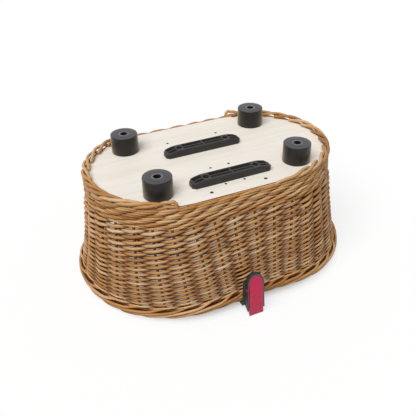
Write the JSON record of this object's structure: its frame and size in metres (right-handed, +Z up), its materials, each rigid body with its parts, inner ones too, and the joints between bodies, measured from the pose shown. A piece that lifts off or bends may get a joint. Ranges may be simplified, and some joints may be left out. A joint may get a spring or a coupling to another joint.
{
  "type": "bicycle pet basket",
  "caption": "Oval woven basket with a plywood base, round rubber feet, carrier rails and a sprung rim latch, standing upside down on its rim.",
  "frame": {"origin": "middle of the whole part's footprint, on the surface that the rim stands on", "axes": "+Z up as the basket stands in the picture, upside down, from the rim to the feet; +X along its length; the latch faces -Y. It is turned over for use"},
  "size_m": [0.488, 0.386, 0.2193],
  "materials": {
    "wicker": "peeled and steamed willow, clear varnish, satin",
    "plywood": "pale birch plywood, sanded, matt",
    "foot_rubber": "moulded black rubber, matt",
    "black_plastic": "fine-grained black moulded plastic",
    "red_plastic": "red moulded plastic, glossy at its round end, finely ribbed below",
    "steel": "zinc plated",
    "dark_steel": "black screws"
  },
  "bodies": {
    "basket": {"base_plate": "plywood", "base_wale": "wicker", "wicker_wall": "wicker", "rim_wale": "wicker", "rim_border": "wicker", "foot_border_left": "wicker", "foot_border_right": "wicker", "foot_front_left": "foot_rubber", "foot_screw_front_left": "steel", "foot_front_right": "foot_rubber", "foot_screw_front_right": "steel", "foot_back_left": "foot_rubber", "foot_screw_back_left": "steel", "foot_back_right": "foot_rubber", "foot_screw_back_right": "steel", "rail_front": "black_plastic", "rail_back": "black_plastic", "rail_screw_front_left": "dark_steel", "rail_screw_front_right": "dark_steel", "rail_screw_back_left": "dark_steel", "rail_screw_back_right": "dark_steel", "latch_clip": "black_plastic", "latch_housing": "black_plastic", "latch_spring": "steel", "latch_screw_left": "dark_steel", "latch_screw_right": "dark_steel"},
    "latch_lever": {"latch_lever": "red_plastic"}
  },
  "joints": [
    {"name": "latch_hinge", "type": "hinge", "parent": "basket", "child": "latch_lever", "pos_m": [-0.014, -0.18425, 0.048], "axis": [-1, 0, 0], "range_deg": [0, 10], "stiffness_Nm_per_rad": 0.08, "springref_deg": -9.74, "deforming": ["latch_spring"]}
  ]
}
